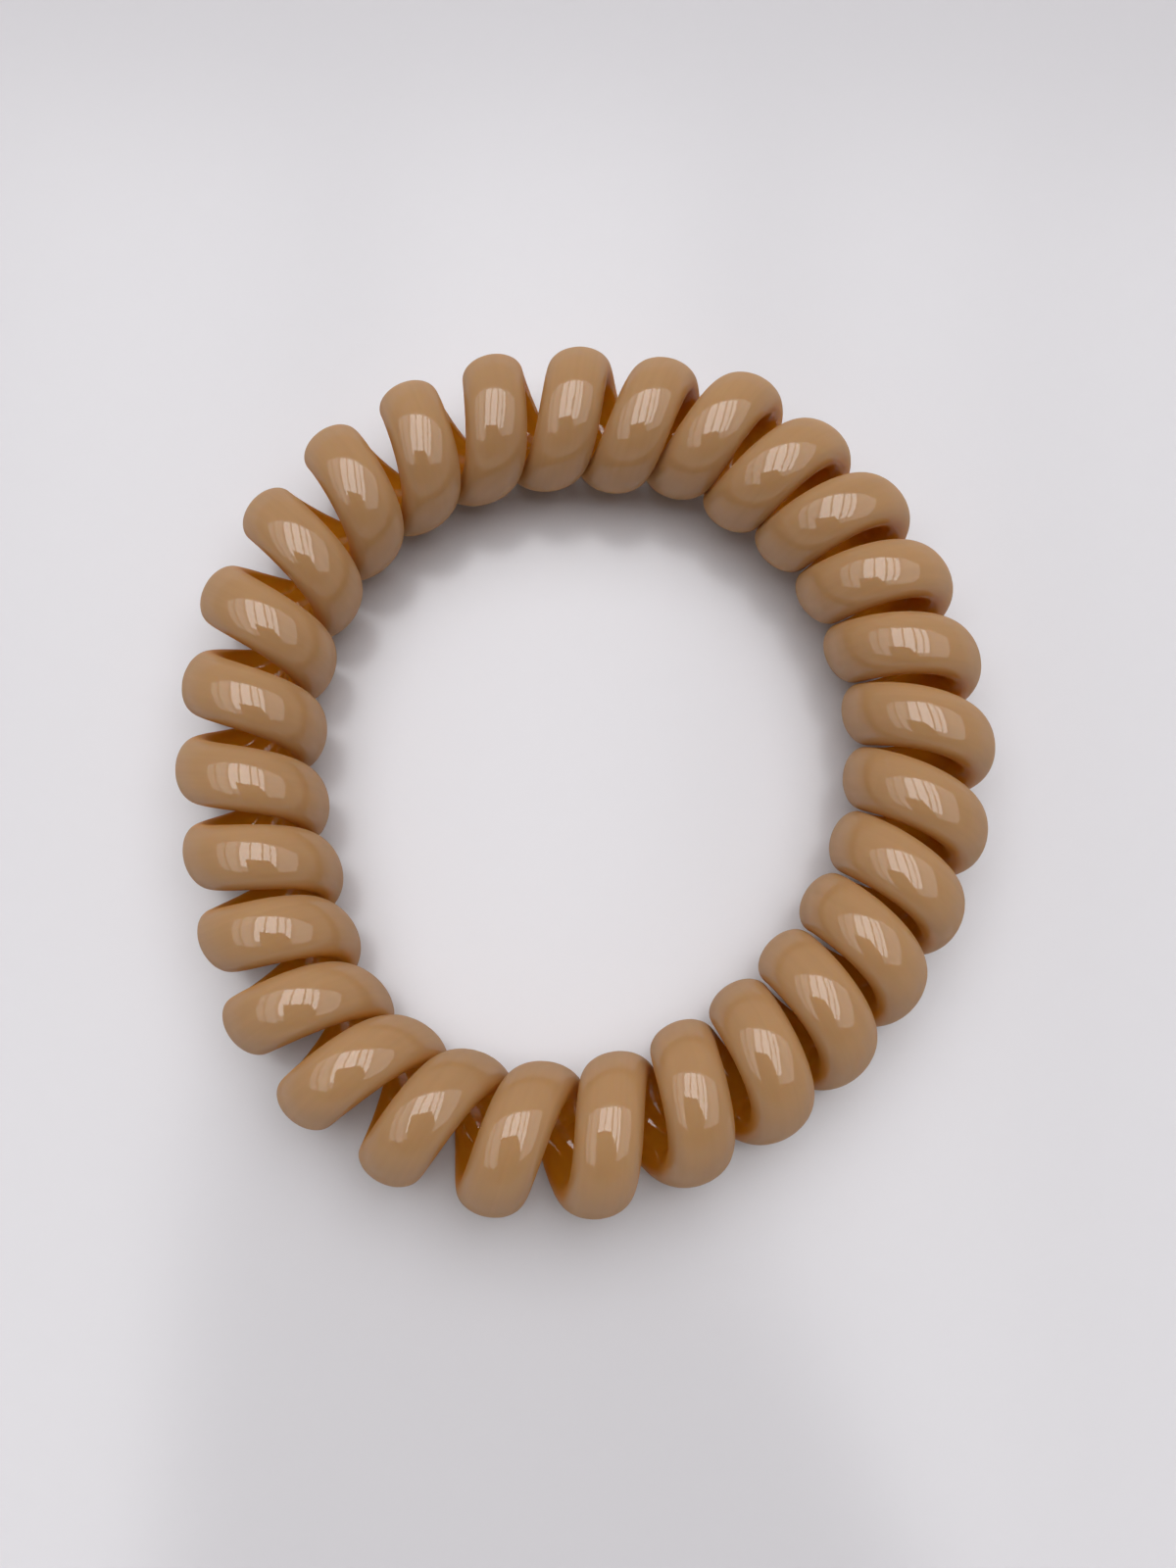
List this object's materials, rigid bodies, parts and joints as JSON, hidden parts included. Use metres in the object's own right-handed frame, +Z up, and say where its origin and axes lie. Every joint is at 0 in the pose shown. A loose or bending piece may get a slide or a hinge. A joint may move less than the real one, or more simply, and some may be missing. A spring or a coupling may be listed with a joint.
{
  "type": "spiral hair tie",
  "caption": "Coiled elastic hair tie: a glossy oval cord wound in an open coil and closed into a ring that grips a ponytail.",
  "frame": {"origin": "under the middle of the ring, at the level of the surface it lies on", "axes": "+Z up out of the surface, +Y along the ring's longer way across, +X along its shorter way across"},
  "size_m": [0.0516, 0.0562, 0.0095],
  "materials": {
    "cord": "glossy tan elastomer"
  },
  "bodies": {
    "root": {"coil_cord": "cord"}
  },
  "joints": []
}
